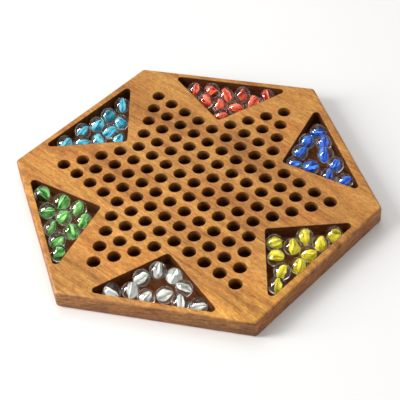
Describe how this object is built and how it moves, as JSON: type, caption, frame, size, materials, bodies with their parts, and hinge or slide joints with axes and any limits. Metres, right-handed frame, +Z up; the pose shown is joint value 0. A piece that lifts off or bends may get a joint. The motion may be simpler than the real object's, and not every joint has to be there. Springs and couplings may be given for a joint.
{
  "type": "chinese checkers board",
  "caption": "Thick hexagonal wooden game board with a star of drilled marble seats and, along each edge, a triangular pocket of loose glass marbles that lift out.",
  "frame": {"origin": "middle of the board's underside, on the plane it rests on", "axes": "+Z up out of the played face; +X from the middle to a corner of the hexagon; -Y to the middle of the edge with the white marbles"},
  "size_m": [0.3026, 0.2604, 0.0191],
  "materials": {
    "oiled_wood": "oiled honey-coloured wood, edge-glued staves",
    "glass_white": "clear glass with silvery white cat's-eye vanes",
    "glass_yellow": "clear glass with yellow cat's-eye vanes",
    "glass_blue": "clear glass with blue cat's-eye vanes",
    "glass_red": "clear glass with red cat's-eye vanes",
    "glass_teal": "clear glass with light blue cat's-eye vanes",
    "glass_green": "clear glass with green cat's-eye vanes"
  },
  "bodies": {
    "board": {"board": "oiled_wood"},
    "marble_blue_01": {"marble_blue_01": "glass_blue"},
    "marble_blue_02": {"marble_blue_02": "glass_blue"},
    "marble_blue_03": {"marble_blue_03": "glass_blue"},
    "marble_blue_04": {"marble_blue_04": "glass_blue"},
    "marble_blue_05": {"marble_blue_05": "glass_blue"},
    "marble_blue_06": {"marble_blue_06": "glass_blue"},
    "marble_blue_07": {"marble_blue_07": "glass_blue"},
    "marble_blue_08": {"marble_blue_08": "glass_blue"},
    "marble_blue_09": {"marble_blue_09": "glass_blue"},
    "marble_blue_10": {"marble_blue_10": "glass_blue"},
    "marble_green_01": {"marble_green_01": "glass_green"},
    "marble_green_02": {"marble_green_02": "glass_green"},
    "marble_green_03": {"marble_green_03": "glass_green"},
    "marble_green_04": {"marble_green_04": "glass_green"},
    "marble_green_05": {"marble_green_05": "glass_green"},
    "marble_green_06": {"marble_green_06": "glass_green"},
    "marble_green_07": {"marble_green_07": "glass_green"},
    "marble_green_08": {"marble_green_08": "glass_green"},
    "marble_green_09": {"marble_green_09": "glass_green"},
    "marble_green_10": {"marble_green_10": "glass_green"},
    "marble_red_01": {"marble_red_01": "glass_red"},
    "marble_red_02": {"marble_red_02": "glass_red"},
    "marble_red_03": {"marble_red_03": "glass_red"},
    "marble_red_04": {"marble_red_04": "glass_red"},
    "marble_red_05": {"marble_red_05": "glass_red"},
    "marble_red_06": {"marble_red_06": "glass_red"},
    "marble_red_07": {"marble_red_07": "glass_red"},
    "marble_red_08": {"marble_red_08": "glass_red"},
    "marble_red_09": {"marble_red_09": "glass_red"},
    "marble_red_10": {"marble_red_10": "glass_red"},
    "marble_teal_01": {"marble_teal_01": "glass_teal"},
    "marble_teal_02": {"marble_teal_02": "glass_teal"},
    "marble_teal_03": {"marble_teal_03": "glass_teal"},
    "marble_teal_04": {"marble_teal_04": "glass_teal"},
    "marble_teal_05": {"marble_teal_05": "glass_teal"},
    "marble_teal_06": {"marble_teal_06": "glass_teal"},
    "marble_teal_07": {"marble_teal_07": "glass_teal"},
    "marble_teal_08": {"marble_teal_08": "glass_teal"},
    "marble_teal_09": {"marble_teal_09": "glass_teal"},
    "marble_teal_10": {"marble_teal_10": "glass_teal"},
    "marble_white_01": {"marble_white_01": "glass_white"},
    "marble_white_02": {"marble_white_02": "glass_white"},
    "marble_white_03": {"marble_white_03": "glass_white"},
    "marble_white_04": {"marble_white_04": "glass_white"},
    "marble_white_05": {"marble_white_05": "glass_white"},
    "marble_white_06": {"marble_white_06": "glass_white"},
    "marble_white_07": {"marble_white_07": "glass_white"},
    "marble_white_08_09": {"marble_white_08_09": "glass_white"},
    "marble_white_10": {"marble_white_10": "glass_white"},
    "marble_yellow_01": {"marble_yellow_01": "glass_yellow"},
    "marble_yellow_02": {"marble_yellow_02": "glass_yellow"},
    "marble_yellow_03": {"marble_yellow_03": "glass_yellow"},
    "marble_yellow_04": {"marble_yellow_04": "glass_yellow"},
    "marble_yellow_05": {"marble_yellow_05": "glass_yellow"},
    "marble_yellow_06": {"marble_yellow_06": "glass_yellow"},
    "marble_yellow_07": {"marble_yellow_07": "glass_yellow"},
    "marble_yellow_08": {"marble_yellow_08": "glass_yellow"},
    "marble_yellow_09": {"marble_yellow_09": "glass_yellow"},
    "marble_yellow_10": {"marble_yellow_10": "glass_yellow"}
  },
  "joints": [
    {"name": "lift_blue_01", "type": "slide", "parent": "board", "child": "marble_blue_01", "axis": [0, 0, 1], "range_m": [0, 0.015]},
    {"name": "lift_blue_02", "type": "slide", "parent": "board", "child": "marble_blue_02", "axis": [0, 0, 1], "range_m": [0, 0.015]},
    {"name": "lift_blue_03", "type": "slide", "parent": "board", "child": "marble_blue_03", "axis": [0, 0, 1], "range_m": [0, 0.015]},
    {"name": "lift_blue_04", "type": "slide", "parent": "board", "child": "marble_blue_04", "axis": [0, 0, 1], "range_m": [0, 0.015]},
    {"name": "lift_blue_05", "type": "slide", "parent": "board", "child": "marble_blue_05", "axis": [0, 0, 1], "range_m": [0, 0.015]},
    {"name": "lift_blue_06", "type": "slide", "parent": "board", "child": "marble_blue_06", "axis": [0, 0, 1], "range_m": [0, 0.015]},
    {"name": "lift_blue_07", "type": "slide", "parent": "board", "child": "marble_blue_07", "axis": [0, 0, 1], "range_m": [0, 0.015]},
    {"name": "lift_blue_08", "type": "slide", "parent": "board", "child": "marble_blue_08", "axis": [0, 0, 1], "range_m": [0, 0.015]},
    {"name": "lift_blue_09", "type": "slide", "parent": "board", "child": "marble_blue_09", "axis": [0, 0, 1], "range_m": [0, 0.015]},
    {"name": "lift_blue_10", "type": "slide", "parent": "board", "child": "marble_blue_10", "axis": [0, 0, 1], "range_m": [0, 0.015]},
    {"name": "lift_green_01", "type": "slide", "parent": "board", "child": "marble_green_01", "axis": [0, 0, 1], "range_m": [0, 0.015]},
    {"name": "lift_green_02", "type": "slide", "parent": "board", "child": "marble_green_02", "axis": [0, 0, 1], "range_m": [0, 0.015]},
    {"name": "lift_green_03", "type": "slide", "parent": "board", "child": "marble_green_03", "axis": [0, 0, 1], "range_m": [0, 0.015]},
    {"name": "lift_green_04", "type": "slide", "parent": "board", "child": "marble_green_04", "axis": [0, 0, 1], "range_m": [0, 0.015]},
    {"name": "lift_green_05", "type": "slide", "parent": "board", "child": "marble_green_05", "axis": [0, 0, 1], "range_m": [0, 0.015]},
    {"name": "lift_green_06", "type": "slide", "parent": "board", "child": "marble_green_06", "axis": [0, 0, 1], "range_m": [0, 0.015]},
    {"name": "lift_green_07", "type": "slide", "parent": "board", "child": "marble_green_07", "axis": [0, 0, 1], "range_m": [0, 0.015]},
    {"name": "lift_green_08", "type": "slide", "parent": "board", "child": "marble_green_08", "axis": [0, 0, 1], "range_m": [0, 0.015]},
    {"name": "lift_green_09", "type": "slide", "parent": "board", "child": "marble_green_09", "axis": [0, 0, 1], "range_m": [0, 0.015]},
    {"name": "lift_green_10", "type": "slide", "parent": "board", "child": "marble_green_10", "axis": [0, 0, 1], "range_m": [0, 0.015]},
    {"name": "lift_red_01", "type": "slide", "parent": "board", "child": "marble_red_01", "axis": [0, 0, 1], "range_m": [0, 0.015]},
    {"name": "lift_red_02", "type": "slide", "parent": "board", "child": "marble_red_02", "axis": [0, 0, 1], "range_m": [0, 0.015]},
    {"name": "lift_red_03", "type": "slide", "parent": "board", "child": "marble_red_03", "axis": [0, 0, 1], "range_m": [0, 0.015]},
    {"name": "lift_red_04", "type": "slide", "parent": "board", "child": "marble_red_04", "axis": [0, 0, 1], "range_m": [0, 0.015]},
    {"name": "lift_red_05", "type": "slide", "parent": "board", "child": "marble_red_05", "axis": [0, 0, 1], "range_m": [0, 0.015]},
    {"name": "lift_red_06", "type": "slide", "parent": "board", "child": "marble_red_06", "axis": [0, 0, 1], "range_m": [0, 0.015]},
    {"name": "lift_red_07", "type": "slide", "parent": "board", "child": "marble_red_07", "axis": [0, 0, 1], "range_m": [0, 0.015]},
    {"name": "lift_red_08", "type": "slide", "parent": "board", "child": "marble_red_08", "axis": [0, 0, 1], "range_m": [0, 0.015]},
    {"name": "lift_red_09", "type": "slide", "parent": "board", "child": "marble_red_09", "axis": [0, 0, 1], "range_m": [0, 0.015]},
    {"name": "lift_red_10", "type": "slide", "parent": "board", "child": "marble_red_10", "axis": [0, 0, 1], "range_m": [0, 0.015]},
    {"name": "lift_teal_01", "type": "slide", "parent": "board", "child": "marble_teal_01", "axis": [0, 0, 1], "range_m": [0, 0.015]},
    {"name": "lift_teal_02", "type": "slide", "parent": "board", "child": "marble_teal_02", "axis": [0, 0, 1], "range_m": [0, 0.015]},
    {"name": "lift_teal_03", "type": "slide", "parent": "board", "child": "marble_teal_03", "axis": [0, 0, 1], "range_m": [0, 0.015]},
    {"name": "lift_teal_04", "type": "slide", "parent": "board", "child": "marble_teal_04", "axis": [0, 0, 1], "range_m": [0, 0.015]},
    {"name": "lift_teal_05", "type": "slide", "parent": "board", "child": "marble_teal_05", "axis": [0, 0, 1], "range_m": [0, 0.015]},
    {"name": "lift_teal_06", "type": "slide", "parent": "board", "child": "marble_teal_06", "axis": [0, 0, 1], "range_m": [0, 0.015]},
    {"name": "lift_teal_07", "type": "slide", "parent": "board", "child": "marble_teal_07", "axis": [0, 0, 1], "range_m": [0, 0.015]},
    {"name": "lift_teal_08", "type": "slide", "parent": "board", "child": "marble_teal_08", "axis": [0, 0, 1], "range_m": [0, 0.015]},
    {"name": "lift_teal_09", "type": "slide", "parent": "board", "child": "marble_teal_09", "axis": [0, 0, 1], "range_m": [0, 0.015]},
    {"name": "lift_teal_10", "type": "slide", "parent": "board", "child": "marble_teal_10", "axis": [0, 0, 1], "range_m": [0, 0.015]},
    {"name": "lift_white_01", "type": "slide", "parent": "board", "child": "marble_white_01", "axis": [0, 0, 1], "range_m": [0, 0.015]},
    {"name": "lift_white_02", "type": "slide", "parent": "board", "child": "marble_white_02", "axis": [0, 0, 1], "range_m": [0, 0.015]},
    {"name": "lift_white_03", "type": "slide", "parent": "board", "child": "marble_white_03", "axis": [0, 0, 1], "range_m": [0, 0.015]},
    {"name": "lift_white_04", "type": "slide", "parent": "board", "child": "marble_white_04", "axis": [0, 0, 1], "range_m": [0, 0.015]},
    {"name": "lift_white_05", "type": "slide", "parent": "board", "child": "marble_white_05", "axis": [0, 0, 1], "range_m": [0, 0.015]},
    {"name": "lift_white_06", "type": "slide", "parent": "board", "child": "marble_white_06", "axis": [0, 0, 1], "range_m": [0, 0.015]},
    {"name": "lift_white_07", "type": "slide", "parent": "board", "child": "marble_white_07", "axis": [0, 0, 1], "range_m": [0, 0.015]},
    {"name": "lift_white_08_09", "type": "slide", "parent": "board", "child": "marble_white_08_09", "axis": [0, 0, 1], "range_m": [0, 0.015]},
    {"name": "lift_white_10", "type": "slide", "parent": "board", "child": "marble_white_10", "axis": [0, 0, 1], "range_m": [0, 0.015]},
    {"name": "lift_yellow_01", "type": "slide", "parent": "board", "child": "marble_yellow_01", "axis": [0, 0, 1], "range_m": [0, 0.015]},
    {"name": "lift_yellow_02", "type": "slide", "parent": "board", "child": "marble_yellow_02", "axis": [0, 0, 1], "range_m": [0, 0.015]},
    {"name": "lift_yellow_03", "type": "slide", "parent": "board", "child": "marble_yellow_03", "axis": [0, 0, 1], "range_m": [0, 0.015]},
    {"name": "lift_yellow_04", "type": "slide", "parent": "board", "child": "marble_yellow_04", "axis": [0, 0, 1], "range_m": [0, 0.015]},
    {"name": "lift_yellow_05", "type": "slide", "parent": "board", "child": "marble_yellow_05", "axis": [0, 0, 1], "range_m": [0, 0.015]},
    {"name": "lift_yellow_06", "type": "slide", "parent": "board", "child": "marble_yellow_06", "axis": [0, 0, 1], "range_m": [0, 0.015]},
    {"name": "lift_yellow_07", "type": "slide", "parent": "board", "child": "marble_yellow_07", "axis": [0, 0, 1], "range_m": [0, 0.015]},
    {"name": "lift_yellow_08", "type": "slide", "parent": "board", "child": "marble_yellow_08", "axis": [0, 0, 1], "range_m": [0, 0.015]},
    {"name": "lift_yellow_09", "type": "slide", "parent": "board", "child": "marble_yellow_09", "axis": [0, 0, 1], "range_m": [0, 0.015]},
    {"name": "lift_yellow_10", "type": "slide", "parent": "board", "child": "marble_yellow_10", "axis": [0, 0, 1], "range_m": [0, 0.015]}
  ]
}
